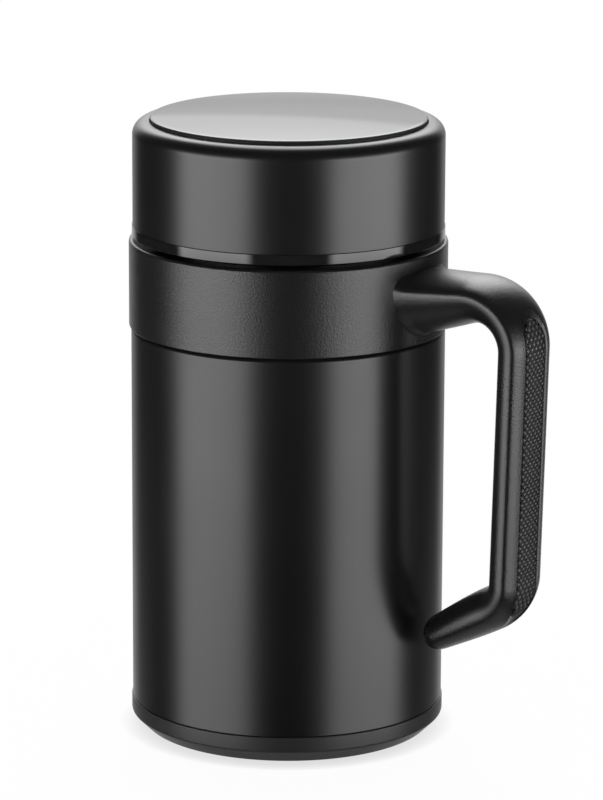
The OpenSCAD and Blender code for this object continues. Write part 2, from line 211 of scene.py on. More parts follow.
class MugFinishes(bpy.types.PropertyGroup):
    """Colours and gloss of the mug."""

    lacquer: paint("Lacquer", "Satin black of body and lid", (0.0075, 0.0075, 0.008))
    lacquer_rough: share("Lacquer roughness", "Roughness of the satin lacquer", 0.31)
    plastic: paint("Plastic", "Charcoal of collar and handle", (0.0115, 0.0115, 0.012))
    plastic_rough: share("Plastic roughness", "Roughness of the grained plastic", 0.28)
    insert: paint("Insert", "Grey of the ribbed insert", (0.095, 0.095, 0.1))
    insert_rough: share("Insert roughness", "Roughness of the insert", 0.33)
    gloss: paint("Gloss", "Black of the glossy ring", (0.012, 0.012, 0.0125))
    disc: paint("Disc", "Grey of the disc on the lid", (0.045, 0.047, 0.052))
    rubber: paint("Rubber", "Grey of the base", (0.042, 0.042, 0.0425))
    pad: paint("Pad", "Grey of the anti-slip pad", (0.030, 0.030, 0.031))
    steel: paint("Steel", "Bare stainless steel", (0.62, 0.62, 0.61))
    getter: paint("Getter", "Pressed metal powder", (0.35, 0.35, 0.36))
    solder: paint("Solder", "Bead that seals the vacuum", (0.55, 0.55, 0.53))
    silicone: paint("Silicone", "White of the gasket", (0.72, 0.72, 0.70))
    foam: paint("Foam", "Insulation in the lid", (0.85, 0.83, 0.78))


class MugStudio(bpy.types.PropertyGroup):
    """Floor, light and camera."""

    floor_r: size("Floor", "Radius of the floor", 800)
    floor: paint("Floor colour", "Colour of the floor", (0.9, 0.9, 0.9))
    side_light: share("Side light", "Brightness of the two side panels", 4.5)
    back_light: share("Back light", "Brightness of the backdrop's upper part", 2.0)
    sky_light: share("Sky light", "Added brightness of the light high behind the mug", 1.3)
    haze_light: share("Haze", "Added brightness just above the horizon", 0.26)
    slant_light: share("Slant", "Added brightness above a slanted edge on the backdrop", 0.35)
    backdrop: share("Backdrop", "Brightness of the backdrop's lower part", 0.79)
    table_light: share("Table", "Brightness of the table behind the mug", 0.62)
    table_below: share("Table below", "Brightness of the table under the mug", 0.36)
    table_sides: share("Table sides", "Brightness of the table beside the mug", 0.5)
    top_light: share("Top light", "Brightness of the panel overhead, which only matt surfaces see", 1.2)
    fill: share("Fill", "Brightness of the rest of the room", 0.02)
    lens: FloatProperty(name="Lens", description="Focal length of the camera in mm", default=199.44)
    camera_at: FloatVectorProperty(
        name="Camera", description="Place of the camera", default=(0.59486, -0.92731, 0.3576),
        size=3, subtype="TRANSLATION", precision=5)
    camera_turn: angle("Turn", "Angle between the camera's view and the handle's plane", 57.5)
    camera_pitch: angle("Pitch", "How far the camera looks down", 13.887)
    camera_roll: angle("Roll", "Turn of the camera about its view", 0.24)


class TravelMug(bpy.types.PropertyGroup):
    """All settings of the mug."""

    body: PointerProperty(type=MugBodySizes)
    handle: PointerProperty(type=MugHandleSizes)
    lid: PointerProperty(type=MugLidSizes)
    finish: PointerProperty(type=MugFinishes)
    studio: PointerProperty(type=MugStudio)


class Wire:
    """A shader socket whose values can be added, multiplied and so on."""

    def __init__(self, tree, socket):
        self.tree = tree
        self.socket = socket

    def maths(self, operation, first, second=0.0):
        return add_node(self.tree, "ShaderNodeMath", {"operation": operation}, {0: first, 1: second})

    def __add__(self, other):
        return self.maths("ADD", self, other)

    __radd__ = __add__

    def __sub__(self, other):
        return self.maths("SUBTRACT", self, other)

    def __rsub__(self, other):
        return self.maths("SUBTRACT", other, self)

    def __mul__(self, other):
        return self.maths("MULTIPLY", self, other)

    __rmul__ = __mul__

    def smooth(self, low, high):
        """0 below low, 1 above high and a smooth rise between."""
        return add_node(self.tree, "ShaderNodeMapRange", {"interpolation_type": "SMOOTHSTEP"},
                        {"Value": self, "From Min": low, "From Max": high, "To Min": 0.0, "To Max": 1.0})


def feed(tree, node, inputs):
    """Sets or links the sockets of a node."""
    for key, value in inputs.items():
        socket = node.inputs[key]
        if isinstance(value, Wire):
            tree.links.new(value.socket, socket)
        else:
            socket.default_value = value


def add_node(tree, kind, settings=None, inputs=None, output=0):
    """A node with its settings and the values or links of its sockets; returns one of its outputs, if it has any."""
    node = tree.nodes.new(kind)
    for key, value in (settings or {}).items():
        setattr(node, key, value)
    feed(tree, node, inputs or {})
    return Wire(tree, node.outputs[output]) if len(node.outputs) else None


class Finish:
    """A material on a Principled shader, with its pattern helpers."""

    def __init__(self, name):
        self.material = bpy.data.materials.new(name)
        self.material.use_nodes = True
        self.tree = self.material.node_tree
        self.shader = self.tree.nodes["Principled BSDF"]
        self.place = self.node("ShaderNodeTexCoord", output="Object")

    def node(self, *given, **named):
        return add_node(self.tree, *given, **named)

    def noise(self, grain, detail=2.0):
        """Soft noise whose features are about as long as grain, in metres."""
        return self.node("ShaderNodeTexNoise", inputs={
            "Vector": self.place, "Scale": 1 / grain, "Detail": detail, "Roughness": 0.5})

    def cells(self, grain):
        """Distance to scattered points that lie about grain apart, in metres."""
        return self.node("ShaderNodeTexVoronoi", inputs={"Vector": self.place, "Scale": 1 / grain}, output="Distance")

    def tint(self, factor, first, second):
        """Colour between two colours."""
        return self.node("ShaderNodeMix", {"data_type": "RGBA"}, {
            "Factor": factor, 6: (*first, 1), 7: (*second, 1)}, output=2)

    def bump(self, height, depth):
        """Relief of a height that runs from 0 to 1 over a depth in metres."""
        return self.node("ShaderNodeBump", inputs={"Height": height, "Distance": depth, "Strength": 1.0})

    def wire(self, **sockets):
        """Sets or links the shader's sockets, given with _ for the spaces in their names."""
        feed(self.tree, self.shader, {key.replace("_", " "): value for key, value in sockets.items()})
        return self.material


def scaled(colour, factor):
    return tuple(c * factor for c in colour)


def satin_lacquer(name, colour, rough):
    """Sprayed satin lacquer: fine orange peel, slight change of gloss and a few specks of dust."""
    f = Finish(name)
    dust_grey, dust_gap, dust_size = (0.2, 0.2, 0.2), 9 * MM, (0.010, 0.016)
    cloud = f.noise(grain=30 * MM)
    speck = 1 - f.cells(dust_gap).smooth(*dust_size)
    peel = f.bump(f.noise(grain=0.5 * MM, detail=1.0), depth=0.004 * MM)
    return f.wire(
        Base_Color=f.tint(speck * 0.5, colour, dust_grey),
        Roughness=(rough - 0.03) + 0.06 * cloud + 0.3 * speck,
        IOR=1.58,
        Normal=peel)


def grained_plastic(name, colour, rough):
    """Moulded plastic with a fine spark-eroded grain, a little smoother where hands polish it."""
    f = Finish(name)
    pits = f.noise(grain=0.5 * MM, detail=3.0)
    sand = f.cells(grain=0.22 * MM)
    worn = f.noise(grain=22 * MM)
    relief = f.bump(pits + 0.5 * sand, depth=0.045 * MM)
    return f.wire(
        Base_Color=f.tint(pits, scaled(colour, 0.75), scaled(colour, 1.25)),
        Roughness=(rough - 0.05) + 0.06 * worn + 0.06 * pits,
        IOR=1.58,
        Normal=relief)


def soft_rubber(name, colour, rough, grain):
    """Matt rubber with a dull, slightly dusty surface."""
    f = Finish(name)
    fine = f.noise(grain, detail=3.0)
    dust = f.noise(grain=6 * MM)
    return f.wire(
        Base_Color=f.tint(dust, scaled(colour, 0.85), scaled(colour, 1.15)),
        Roughness=(rough - 0.04) + 0.08 * fine,
        IOR=1.4,
        Normal=f.bump(fine, depth=0.03 * MM))


def knurled_rubber(name, colour, rough):
    """Rubber whose raised diamonds are lighter than the grooves between them: worn tops, and painted shade that darkens
    the grooves.
    """
    f = Finish(name)
    shade_and_wear_from = 0.35
    rise = f.node("ShaderNodeAttribute", {"attribute_name": "rise"}, output="Fac").smooth(shade_and_wear_from, 1.0)
    fine = f.noise(grain=0.2 * MM, detail=3.0)
    return f.wire(
        # In the grooves the colour drops to 0.12 of the insert's grey. That is painted shade. The lighter tops stand
        # for wear.
        Base_Color=f.tint(rise, scaled(colour, 0.12), colour),
        Roughness=(rough + 0.2) - 0.25 * rise + 0.08 * fine,
        Normal=f.bump(fine, depth=0.015 * MM))


def polished_plastic(name, colour, rough, edge_r=1.0):
    """Polished plastic with a trace of flow marks and hairline wear, and matt beyond a radius, where its colour is also
    darkened as painted shade.
    """
    f = Finish(name)
    matt_shade_start, matt_shade_full = 0.3 * MM, 0.05 * MM
    flow = f.noise(grain=14 * MM)
    hair = f.noise(grain=0.6 * MM, detail=3.0)
    level = f.node("ShaderNodeVectorMath", {"operation": "MULTIPLY"}, {0: f.place, 1: (1, 1, 0)})
    radius = f.node("ShaderNodeVectorMath", {"operation": "LENGTH"}, {0: level}, output="Value")
    matt = radius.smooth(edge_r - matt_shade_start, edge_r - matt_shade_full)
    return f.wire(
        # Beyond the radius the colour drops to a tenth. This is painted shade on the disc's rim, which sits in the gap
        # round it.
        Base_Color=f.tint(matt, colour, scaled(colour, 0.1)),
        Roughness=rough + 0.03 * hair + 0.6 * matt,
        IOR=1.55,
        Normal=f.bump(flow, depth=0.002 * MM))


def brushed_metal(name, colour, rough):
    """Stainless steel with fine lines round the mug's axis."""
    f = Finish(name)
    lines = f.node("ShaderNodeMapping", inputs={"Vector": f.place, "Scale": (1.0, 1.0, 40.0)})
    brush = f.node("ShaderNodeTexNoise", inputs={"Vector": lines, "Scale": 90.0, "Detail": 3.0})
    return f.wire(
        Base_Color=f.tint(brush, scaled(colour, 0.85), colour),
        Metallic=1.0,
        Roughness=(rough - 0.08) + 0.16 * brush,
        Normal=f.bump(brush, depth=0.004 * MM))


def powder(name, colour, rough, grain, metal=0.0):
    """Pressed powder, solder or foam: speckled and dull."""
    f = Finish(name)
    speckle = f.cells(grain)
    return f.wire(
        Base_Color=f.tint(speckle, scaled(colour, 0.7), colour),
        Metallic=metal,
        Roughness=rough + 0.1 * speckle,
        Normal=f.bump(speckle, depth=0.05 * MM))


def mug_of(context):
    return context.scene.travel_mug


def mesh_of(name, bm):
    """A mesh made of a bmesh, which is freed."""
    mesh = bpy.data.meshes.new(name)
    bm.to_mesh(mesh)
    bm.free()
    return mesh


def add_object(name, data):
    made = bpy.data.objects.new(name, data)
    bpy.context.scene.collection.objects.link(made)
    return made


def piece(name, bm, material, body, node, sharp=SHARP_ANGLE):
    """Makes a bmesh a smooth object with sharp edges, which rides on a body and stands for a CAD node."""
    mesh = mesh_of(name, bm)
    for face in mesh.polygons:
        face.use_smooth = True
    mesh.set_sharp_from_angle(angle=sharp)
    mesh.materials.append(material)
    made = add_object(name, mesh)
    even = made.modifiers.new("even_normals", "WEIGHTED_NORMAL")
    even.mode = "FACE_AREA"
    even.keep_sharp = True
    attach(made, body)
    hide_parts(node)


def face_outwards(bm):
    """Makes the faces of closed shapes point outwards."""
    bmesh.ops.recalc_face_normals(bm, faces=bm.faces[:])
    if bm.calc_volume(signed=True) < 0:
        bmesh.ops.reverse_faces(bm, faces=bm.faces[:])


def spin_outline(outline, steps, turns=1.0, lift=0.0):
    """Turns a closed outline of (radius, height) about the mug's axis: a full ring, or a helix with a lift per step."""
    bm = bmesh.new()
    verts = [bm.verts.new((r, 0, z)) for r, z in outline]
    edges = [bm.edges.new(pair) for pair in zip(verts, verts[1:] + verts[:1])]
    bmesh.ops.spin(bm, geom=verts + edges, cent=(0, 0, 0), axis=UP, dvec=(0, 0, lift), angle=FULL_TURN * turns,
                   steps=steps, use_merge=not lift, use_normal_flip=False, use_duplicate=False)
    return bm


def lathe(corners, steps=LATHE_STEPS):
    """A solid of revolution about the mug's axis from corners (radius, height), some with a rounding."""
    bm = spin_outline([corner[:2] for corner in corners], steps)
    bmesh.ops.remove_doubles(bm, verts=bm.verts[:], dist=TINY)
    face_outwards(bm)
    for corner in corners:
        if len(corner) == 3:
            round_ring(bm, *corner)
    return bm


def round_ring(bm, r, z, rounding):
    """Rounds the circular edge at a radius and height."""
    def on_ring(v):
        return abs(math.hypot(v.co.x, v.co.y) - r) < TINY and abs(v.co.z - z) < TINY
    ring = [e for e in bm.edges if on_ring(e.verts[0]) and on_ring(e.verts[1])]
    fewest, most = 2, 8
    segments = max(fewest, min(most, round(rounding / ROUND_STEP)))
    bmesh.ops.bevel(bm, geom=ring, offset=rounding, offset_type="OFFSET", segments=segments, profile=0.5,
                    affect="EDGES", material=-1, clamp_overlap=False)


def thread_start(lid):
    """Height at which the neck's thread starts."""
    return node_span("inner_vessel")[1] - lid.thread_turns * lid.pitch - lid.thread_drop


def thread(whole, low, root_r, tip_r, sizes):
    """Adds a helical ridge that winds about the mug's axis and fades out at its ends."""
    per_turn = 48
    steps = round(per_turn * sizes.thread_turns)
    fade = per_turn // 12
    root_h, tip_h, thinnest = 0.85 * MM, 0.35 * MM, 0.05
    outline = (root_r, low - root_h), (tip_r, low - tip_h), (tip_r, low + tip_h), (root_r, low + root_h)
    bm = spin_outline(outline, steps, sizes.thread_turns, sizes.pitch / per_turn)
    bmesh.ops.holes_fill(bm, edges=[e for e in bm.edges if e.is_boundary], sides=4)
    for v in bm.verts:
        r = math.hypot(v.co.x, v.co.y)
        if abs(r - tip_r) < TINY:
            row = (v.co.z - low) / sizes.pitch * per_turn
            left = min(1.0, max(thinnest, min(row, steps - row) / fade))
            goal = root_r + (tip_r - root_r) * left
            v.co.x *= goal / r
            v.co.y *= goal / r
    face_outwards(bm)
    mesh = mesh_of("thread", bm)
    whole.from_mesh(mesh)
    bpy.data.meshes.remove(mesh)


def pchip(knots, at):
    """Smooth value at a place from knots (place, value), without overshoot."""
    if at <= knots[0][0]:
        return knots[0][1]
    if at >= knots[-1][0]:
        return knots[-1][1]
    slopes = [(b[1] - a[1]) / (b[0] - a[0]) for a, b in zip(knots, knots[1:])]
    inner = [2 * a * b / (a + b) if a * b > 0 else 0.0 for a, b in zip(slopes, slopes[1:])]
    tangents = [slopes[0], *inner, slopes[-1]]
    k = next(i for i in range(len(slopes)) if at <= knots[i + 1][0])
    (x0, y0), (x1, y1) = knots[k], knots[k + 1]
    h = x1 - x0
    t = (at - x0) / h
    return (y0 * (1 + 2 * t) * (1 - t) ** 2 + tangents[k] * h * t * (1 - t) ** 2
            + y1 * t * t * (3 - 2 * t) + tangents[k + 1] * h * t * t * (t - 1))


def evenly_on(first, last):
    """Knots on the straight line between two knots."""
    inner = 4
    return [(first[0] + (last[0] - first[0]) * k / inner, first[1] + (last[1] - first[1]) * k / inner)
            for k in range(inner + 1)]


class HandleLine:
    """Centre line and section of the handle, in the plane through the mug's axis."""

    def __init__(self, sizes, shell_r):
        self.sizes = sizes
        root_in, root_margin, flare_in, flare_out = 8 * MM, 0.9 * MM, 0.2 * MM, 1.3 * MM
        root = Vector((shell_r - root_in, sizes.collar_low + root_margin + sizes.root_h / 2))
        bend = Vector((shell_r + sizes.finger_room + sizes.grip_in, root.y + sizes.arm_rise))
        turn = Vector((bend.x - sizes.grip_lean, sizes.leg_z))
        foot = Vector((shell_r + sizes.foot_gap, sizes.foot_z))
        self.root, self.turn, self.foot = root, turn, foot
        self.arm_dir, self.grip_dir, self.leg_dir = (
            math.atan2(b.y - a.y, b.x - a.x) for a, b in ((root, bend), (bend, turn), (turn, foot)))
        if self.leg_dir > 0:
            self.leg_dir -= FULL_TURN
        upper = self.arm_dir - self.grip_dir
        lower = self.grip_dir - self.leg_dir
        upper_trim = sizes.upper_bend * math.tan(upper / 2)
        self.lower_trim = sizes.lower_bend * math.tan(lower / 2)
        self.arm_end = (bend - root).length - upper_trim
        self.grip_start = self.arm_end + sizes.upper_bend * upper
        self.grip_end = self.grip_start + (turn - bend).length - upper_trim - self.lower_trim
        self.leg_start = self.grip_end + sizes.lower_bend * lower
        self.leg_end = self.leg_start + (foot - turn).length - self.lower_trim
        self.upper_centre = root + self.arm_end * ray(self.arm_dir) - sizes.upper_bend * out_of(self.arm_dir)
        self.lower_centre = turn - self.lower_trim * ray(self.grip_dir) - sizes.lower_bend * out_of(self.grip_dir)
        half, under, spread, narrow = sizes.grip_w / 2, 1 * MM, 0.6 * MM, 1.2 * MM
        bend_in, bend_out, leg_in, leg_out = 1.4 * MM, 1.3 * MM, 1.1 * MM, 0.8 * MM
        arm, grip, low, leg, end = self.arm_end, self.grip_start, self.grip_end, self.leg_start, self.leg_end
        flare = root_in - flare_in, root_in + flare_out
        self.half_widths = [(0, sizes.root_w / 2), (arm, half + spread), (grip, half), (low, half),
                            (leg, half - narrow), (end, sizes.foot_w / 2)]
        arm_in = evenly_on((flare[1], sizes.arm_h / 2 + under), (arm, sizes.grip_in + bend_in))
        arm_out = evenly_on((flare[1], sizes.arm_h / 2 - under), (arm, sizes.grip_out + bend_out))
        self.in_depths = [(flare[0], sizes.root_h / 2), *arm_in, (grip, sizes.grip_in), (low, sizes.grip_in),
                          (leg, sizes.grip_in + leg_in), (end, sizes.foot_h / 2)]
        self.out_depths = [(flare[0], sizes.root_h / 2), *arm_out, (grip, sizes.grip_out), (low, sizes.grip_out),
                           (leg, sizes.grip_out + leg_out), (end, sizes.foot_h / 2)]
        self.powers = [(arm, ELLIPSE), (grip, sizes.grip_flat), (low, sizes.grip_flat), (leg, LEG_POWER)]
        self.ridges = [(0, sizes.root_ridge), (arm, sizes.arm_ridge), (grip, sizes.grip_ridge),
                       (low, sizes.grip_ridge), (leg, sizes.leg_ridge)]
        self.groove = grip - sizes.inlay_up, low + sizes.inlay_down

    def nose(self, s):
        """Share of its full section that the leg keeps in its rounded end."""
        t = max(0.0, s - self.leg_end + self.sizes.nose_l) / self.sizes.nose_l
        return max(NOSE_TIP, math.sqrt(max(0.0, 1 - t * t)))

    def at(self, s):
        """Point of the centre line at a distance along it, and the heading there."""
        sizes = self.sizes
        if s < self.arm_end:
            return self.root + s * ray(self.arm_dir), self.arm_dir
        if s < self.grip_start:
            heading = self.arm_dir - (s - self.arm_end) / sizes.upper_bend
            return self.upper_centre + sizes.upper_bend * out_of(heading), heading
        if s < self.grip_end:
            return self.turn - (self.lower_trim + self.grip_end - s) * ray(self.grip_dir), self.grip_dir
        if s < self.leg_start:
            heading = self.grip_dir - (s - self.grip_end) / sizes.lower_bend
            return self.lower_centre + sizes.lower_bend * out_of(heading), heading
        return self.foot - (self.leg_end - s) * ray(self.leg_dir), self.leg_dir

    def place(self, s, across, out):
        """Point of the mug's frame for a distance along, across and out from the centre line."""
        spot, heading = self.at(s)
        there = spot + out * out_of(heading)
        return Vector((there.x, -across, there.y))

    def face(self, s, across):
        """Height of the grip's outer face above the centre line."""
        power, ridge = pchip(self.powers, s), pchip(self.ridges, s)
        inside = max(0.0, 1 - (abs(across) / pchip(self.half_widths, s)) ** power)
        return ridge + (pchip(self.out_depths, s) - ridge) * inside ** (1 / power)

    def section(self, s):
        """Points of the section as (across, out), evenly spaced round its outer and inner side."""
        nose, ridge = self.nose(s), pchip(self.ridges, s)
        half = nose * pchip(self.half_widths, s)
        sides = ((nose * (pchip(self.out_depths, s) - ridge), pchip(self.powers, s), 1),
                 (nose * (pchip(self.in_depths, s) + ridge), ELLIPSE, -1))
        ring = []
        for depth, power, side in sides:
            fine = []
            for k in range(SECTION_FINE + 1):
                a = math.pi * k / SECTION_FINE
                c, o = math.cos(a), math.sin(a)
                fine.append(Vector((side * half * math.copysign(abs(c) ** (2 / power), c),
                                    ridge + side * depth * abs(o) ** (2 / power))))
            ring += evenly(fine, SECTION_POINTS // 2)
        return ring


def ray(angle):
    return Vector((math.cos(angle), math.sin(angle)))


def out_of(angle):
    return ray(angle + math.pi / 2)


def evenly(line, count):
    """count points at even distances along a line, without its last point."""
    lengths = [0.0]
    for a, b in zip(line, line[1:]):
        lengths.append(lengths[-1] + (b - a).length)
    points, k = [], 0
    for i in range(count):
        goal = lengths[-1] * i / count
        while lengths[k + 1] < goal:
            k += 1
        share_of = (goal - lengths[k]) / max(TINY * TINY, lengths[k + 1] - lengths[k])
        points.append(line[k].lerp(line[k + 1], share_of))
    return points


def steps_between(low, high, count):
    return [low + (high - low) * k / count for k in range(count)]


def loft_handle(line):
    """The handle as a ring that is pushed along its centre line."""
    nose_l = line.sizes.nose_l
    nose = line.leg_end - nose_l
    marks = 0, line.arm_end, line.grip_start, line.grip_end, line.leg_start, nose
    counts = 26, 30, 22, 28, 12
    stations = [s for low, high, count in zip(marks, marks[1:], counts) for s in steps_between(low, high, count)]
    stations += [nose + nose_l * math.sin(math.pi / 2 * k / NOSE_STEPS) for k in range(NOSE_STEPS + 1)]
    bm = bmesh.new()
    number = bm.verts.layers.int.new("number")
    ring = bmesh.ops.create_circle(bm, segments=SECTION_POINTS, radius=1)["verts"]
    for k, v in enumerate(ring):
        v[number] = k
    first = edges = list({e for v in ring for e in v.link_edges})
    for i, s in enumerate(stations):
        if i:
            pushed = bmesh.ops.extrude_edge_only(bm, edges=edges)["geom"]
            ring = [g for g in pushed if isinstance(g, bmesh.types.BMVert)]
            edges = [g for g in pushed if isinstance(g, bmesh.types.BMEdge)
                     and g.verts[0] in ring and g.verts[1] in ring]
        shape = line.section(s)
        for v in ring:
            v.co = line.place(s, *shape[v[number]])
    bmesh.ops.contextual_create(bm, geom=first)
    bmesh.ops.contextual_create(bm, geom=edges)
    face_outwards(bm)
    return bm


def trim_round(bm, length, width):
    """Trims a flat sheet about the origin to a strip with round ends."""
    radius = width / 2
    middle = length / 2 - radius
    corners = 20
    cuts = [((0, radius, 0), (0, 1, 0)), ((0, -radius, 0), (0, -1, 0))]
    for k in range(corners):
        a = math.pi * ((k + 0.5) / corners - 0.5)
        for side in (1, -1):
            no = Vector((side * math.cos(a), math.sin(a), 0))
            cuts.append((Vector((side * middle, 0, 0)) + radius * no, no))
    for co, no in cuts:
        bmesh.ops.bisect_plane(bm, geom=bm.verts[:] + bm.edges[:] + bm.faces[:], dist=TINY * TINY,
                               plane_co=co, plane_no=no, clear_outer=True)


def groove_cutter(line):
    """A strip with round ends that cuts the insert's groove out of the grip."""
    sizes = line.sizes
    start, end = line.groove
    length, width = end - start, sizes.inlay_w
    bm = bmesh.new()
    bmesh.ops.create_grid(bm, x_segments=72, y_segments=8, size=0.5)
    bmesh.ops.scale(bm, vec=(length, width, 1), verts=bm.verts[:])
    trim_round(bm, length, width)
    middle, radius = (start + end) / 2, width / 2
    above = 1.2 * MM
    levels = [(v, 0) for v in bm.verts]
    faces = bm.faces[:]
    for level in (1, 2):
        raised = bmesh.ops.extrude_face_region(bm, geom=faces)["geom"]
        faces = [g for g in raised if isinstance(g, bmesh.types.BMFace)]
        levels += [(g, level) for g in raised if isinstance(g, bmesh.types.BMVert)]
    grown = 1 + (sizes.rim_h + above) * sizes.rim_w / sizes.rim_h / radius
    for v, level in levels:
        x, y = v.co.x, v.co.y
        if level == 2:
            core = max(radius - length / 2, min(length / 2 - radius, x))
            x, y = core + (x - core) * grown, y * grown
        s = middle + x
        edge = line.face(s, radius)
        out = (sizes.grip_out - sizes.inlay_depth, edge - sizes.rim_h, edge + above)[level]
        v.co = line.place(s, y, out)
    face_outwards(bm)
    return bm


def knurled_insert(line):
    """The ribbed insert: a strip of raised diamonds that follows the grip's outer face."""
    sizes = line.sizes
    start, end = line.groove
    length, width = end - start - 2 * sizes.inlay_play, sizes.inlay_w - 2 * sizes.inlay_play
    middle = (start + end) / 2
    cells = 2 * math.ceil(length / sizes.knurl_along / 2 + width / sizes.knurl_across / 2) + 2
    bm = bmesh.new()
    bmesh.ops.create_grid(bm, x_segments=cells, y_segments=cells, size=cells / 2)
    bmesh.ops.rotate(bm, cent=(0, 0, 0), matrix=Matrix.Rotation(math.pi / 4, 3, "Z"), verts=bm.verts[:])
    bmesh.ops.scale(bm, vec=(sizes.knurl_along / math.sqrt(2), sizes.knurl_across / math.sqrt(2), 1),
                    verts=bm.verts[:])
    trim_round(bm, length, width)
    rim = [e for e in bm.edges if e.is_boundary]
    plain = length / 2 - sizes.inlay_plain
    raised_share = 0.4
    least = raised_share * sizes.knurl_along * sizes.knurl_across / 2
    diamonds = [f for f in bm.faces if f.calc_area() > least and f.calc_center_median().x < plain]
    bmesh.ops.inset_individual(bm, faces=diamonds, thickness=sizes.knurl_slope, depth=sizes.knurl_h,
                               use_even_offset=True)
    lowest = -sizes.inlay_sunk - sizes.knurl_h
    # rise: the diamonds' height, which the insert's finish uses for painted shade in the grooves and for lighter worn
    # tops.
    rise = bm.verts.layers.float.new("rise")
    for v in bm.verts:
        s = middle + v.co.x
        if v.co.x > plain:
            v.co.z = sizes.knurl_h / 2
        v[rise] = v.co.z / sizes.knurl_h
        v.co = line.place(s, v.co.y, line.face(s, v.co.y) + lowest + v.co.z)
    walls = bmesh.ops.extrude_edge_only(bm, edges=rim)["geom"]
    for v in (g for g in walls if isinstance(g, bmesh.types.BMVert)):
        s = nearest_station(line, Vector((v.co.x, v.co.z)))
        v.co = line.place(s, -v.co.y, sizes.grip_out - sizes.inlay_depth)
    bmesh.ops.holes_fill(bm, edges=[e for e in bm.edges if e.is_boundary], sides=0)
    face_outwards(bm)
    return bm


def nearest_station(line, point):
    """Distance along the centre line at which a point lies beside it."""
    low, high, halvings = 0.0, line.leg_end, 60
    for _ in range(halvings):
        middle = (low + high) / 2
        spot, heading = line.at(middle)
        if (point - spot).dot(ray(heading)) > 0:
            low = middle
        else:
            high = middle
    return low


class MUG_OT_steel_body(bpy.types.Operator):
    """Lacquered steel shell with its threaded neck"""

    bl_idname = "travel_mug.steel_body"
    bl_label = "Steel Body"

    def execute(self, context):
        mug = mug_of(context)
        b, h = mug.body, mug.handle
        base_top = node_span("base_cap")[1]
        low = node_span("outer_shell")[0]
        neck_z = node_span("collar_handle")[1] - h.collar_roof
        r, t = b.shell_r, b.steel_t
        low_round, high_round = 0.4 * MM, 0.2 * MM
        seat, skirt = r - b.seat_step, r - b.skirt_step
        bm = lathe([
            (skirt, low), (skirt, base_top), (r, base_top, b.edge_round),
            (r, h.collar_low - b.shoulder_h, low_round), (r - b.shoulder_w, h.collar_low, high_round),
            (seat, h.collar_low), (seat, neck_z), (b.neck_r, neck_z), (b.neck_r, b.neck_top),
            (b.neck_r - t, b.neck_top), (b.neck_r - t, neck_z - t), (seat - t, neck_z - t),
            (seat - t, h.collar_low - t), (r - t - b.shoulder_w / 2, h.collar_low - t),
            (r - t, h.collar_low - b.shoulder_h - t / 2), (r - t, base_top + t),
            (skirt - t, base_top + t), (skirt - t, low)])
        thread(bm, thread_start(mug.lid), b.neck_r - THREAD_ROOT, b.neck_r + mug.lid.thread_depth, mug.lid)
        lacquer = satin_lacquer("body_lacquer", mug.finish.lacquer, mug.finish.lacquer_rough)
        piece("steel_body", bm, lacquer, "mug", "outer_shell")
        return {"FINISHED"}


class MUG_OT_base(bpy.types.Operator):
    """Rubber base cap and the anti-slip pad under it"""

    bl_idname = "travel_mug.base"
    bl_label = "Rubber Base"

    def execute(self, context):
        mug = mug_of(context)
        b = mug.body
        low, high = node_span("base_cap")
        cap_r, pad_r = node_radius("base_cap"), node_radius("base_pad")
        pad_top = node_span("base_pad")[1]
        skirt_low = node_span("outer_shell")[0]
        foot_r = cap_r - b.bevel_w
        skirt = b.shell_r - b.skirt_step
        slot_w, floor_z, pad_play = 1.8 * MM, 3 * MM, 0.2 * MM
        well_round, foot_round = 0.1 * MM, 0.3 * MM
        seat_in, well_r = skirt - slot_w, pad_r + pad_play
        bm = lathe([
            (well_r, low, well_round), (foot_r + b.bevel_w * low / b.bevel_h, low, foot_round),
            (cap_r, b.bevel_h, b.base_round), (cap_r, high, b.base_round), (skirt, high), (skirt, skirt_low),
            (seat_in, skirt_low), (seat_in, floor_z), (0, floor_z), (0, pad_top), (well_r, pad_top)])
        rubber = soft_rubber("base_rubber", mug.finish.rubber, rough=0.38, grain=0.5 * MM)
        piece("base_cap_rubber", bm, rubber, "mug", "base_cap")
        bm = lathe([(0, 0), (pad_r, 0, b.pad_round), (pad_r, pad_top, b.pad_round), (0, pad_top)])
        pad = soft_rubber("pad_rubber", mug.finish.pad, rough=0.75, grain=0.8 * MM)
        piece("anti_slip_pad", bm, pad, "mug", "base_pad")
        return {"FINISHED"}


class MUG_OT_collar_handle(bpy.types.Operator):
    """Collar with the handle moulded on, and the groove for the insert"""

    bl_idname = "travel_mug.collar_handle"
    bl_label = "Collar and Handle"

    def execute(self, context):
        mug = mug_of(context)
        h, b = mug.handle, mug.body
        line = HandleLine(h, b.shell_r)
        top = node_span("collar_handle")[1]
        outer = node_radius("collar_handle")
        seat = b.shell_r - b.seat_step
        under = top - h.collar_roof
        seat_round, mouth_round = 0.1 * MM, 0.3 * MM
        collar = lathe([
            (seat, h.collar_low, seat_round), (outer, h.collar_low, h.collar_edge), (outer, top, h.collar_round),
            (h.collar_mouth, top, mouth_round), (h.collar_mouth, under), (seat, under)], steps=COLLAR_STEPS)
        core_r = (seat + outer) / 2
        core_low, core_high = h.collar_low - 50 * MM, top + 200 * MM
        core = lathe([(0, core_low), (core_r, core_low), (core_r, core_high), (0, core_high)],
                     steps=COLLAR_STEPS)
        arm = carve(loft_handle(line), [core, groove_cutter(line)], "DIFFERENCE")
        whole = carve(collar, [arm], "UNION")
        plastic = grained_plastic("collar_plastic", mug.finish.plastic, mug.finish.plastic_rough)
        piece("collar_with_handle", whole, plastic, "mug", "collar_handle")
        return {"FINISHED"}


